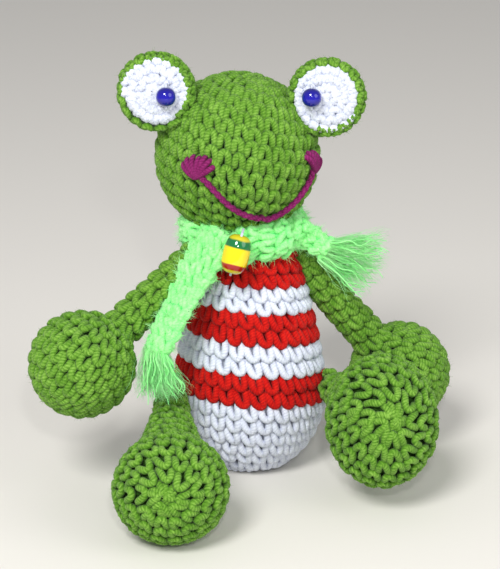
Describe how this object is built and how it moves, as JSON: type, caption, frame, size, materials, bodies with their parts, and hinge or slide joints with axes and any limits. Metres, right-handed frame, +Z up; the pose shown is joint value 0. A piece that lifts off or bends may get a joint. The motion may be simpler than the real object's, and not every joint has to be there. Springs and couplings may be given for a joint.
{
  "type": "crocheted frog toy",
  "caption": "Small stuffed frog worked in crochet rounds, sitting, with a striped egg body, ball hands and feet, cup eyes with blue beads, a stitched smile and a fuzzy scarf",
  "frame": {"origin": "middle of the flat seat under the body, where the toy rests", "axes": "+Z up, the frog looks along -Y, its left side is +X"},
  "size_m": [0.1344, 0.1095, 0.1376],
  "materials": {
    "green_yarn": "plied acrylic yarn in single crochet, matt with a faint halo of fibres",
    "white_yarn": "plied acrylic yarn in single crochet, matt, cool white",
    "red_yarn": "plied acrylic yarn in single crochet, matt, bright red",
    "scarf_yarn": "fluffy mint-green yarn with a long soft pile",
    "magenta_yarn": "embroidery yarn, matt dark magenta",
    "blue_bead": "opaque blue glass, polished",
    "yellow_bead": "yellow bead with a green and a dark red band, polished",
    "thread": "thin sewing thread, dull"
  },
  "bodies": {
    "root": {"body": "white_yarn", "head": "green_yarn", "right_arm": "green_yarn", "left_arm": "green_yarn", "right_leg": "green_yarn", "left_leg": "green_yarn", "right_eye": "green_yarn", "right_eye_white": "white_yarn", "right_pupil_bead": "blue_bead", "right_pupil_thread": "thread", "left_eye": "green_yarn", "left_eye_white": "white_yarn", "left_pupil_bead": "blue_bead", "left_pupil_thread": "thread", "mouth": "magenta_yarn", "scarf": "scarf_yarn", "right_scarf_fringe": "scarf_yarn", "left_scarf_fringe": "scarf_yarn", "scarf_bead": "yellow_bead", "scarf_bead_thread": "thread"}
  },
  "joints": []
}
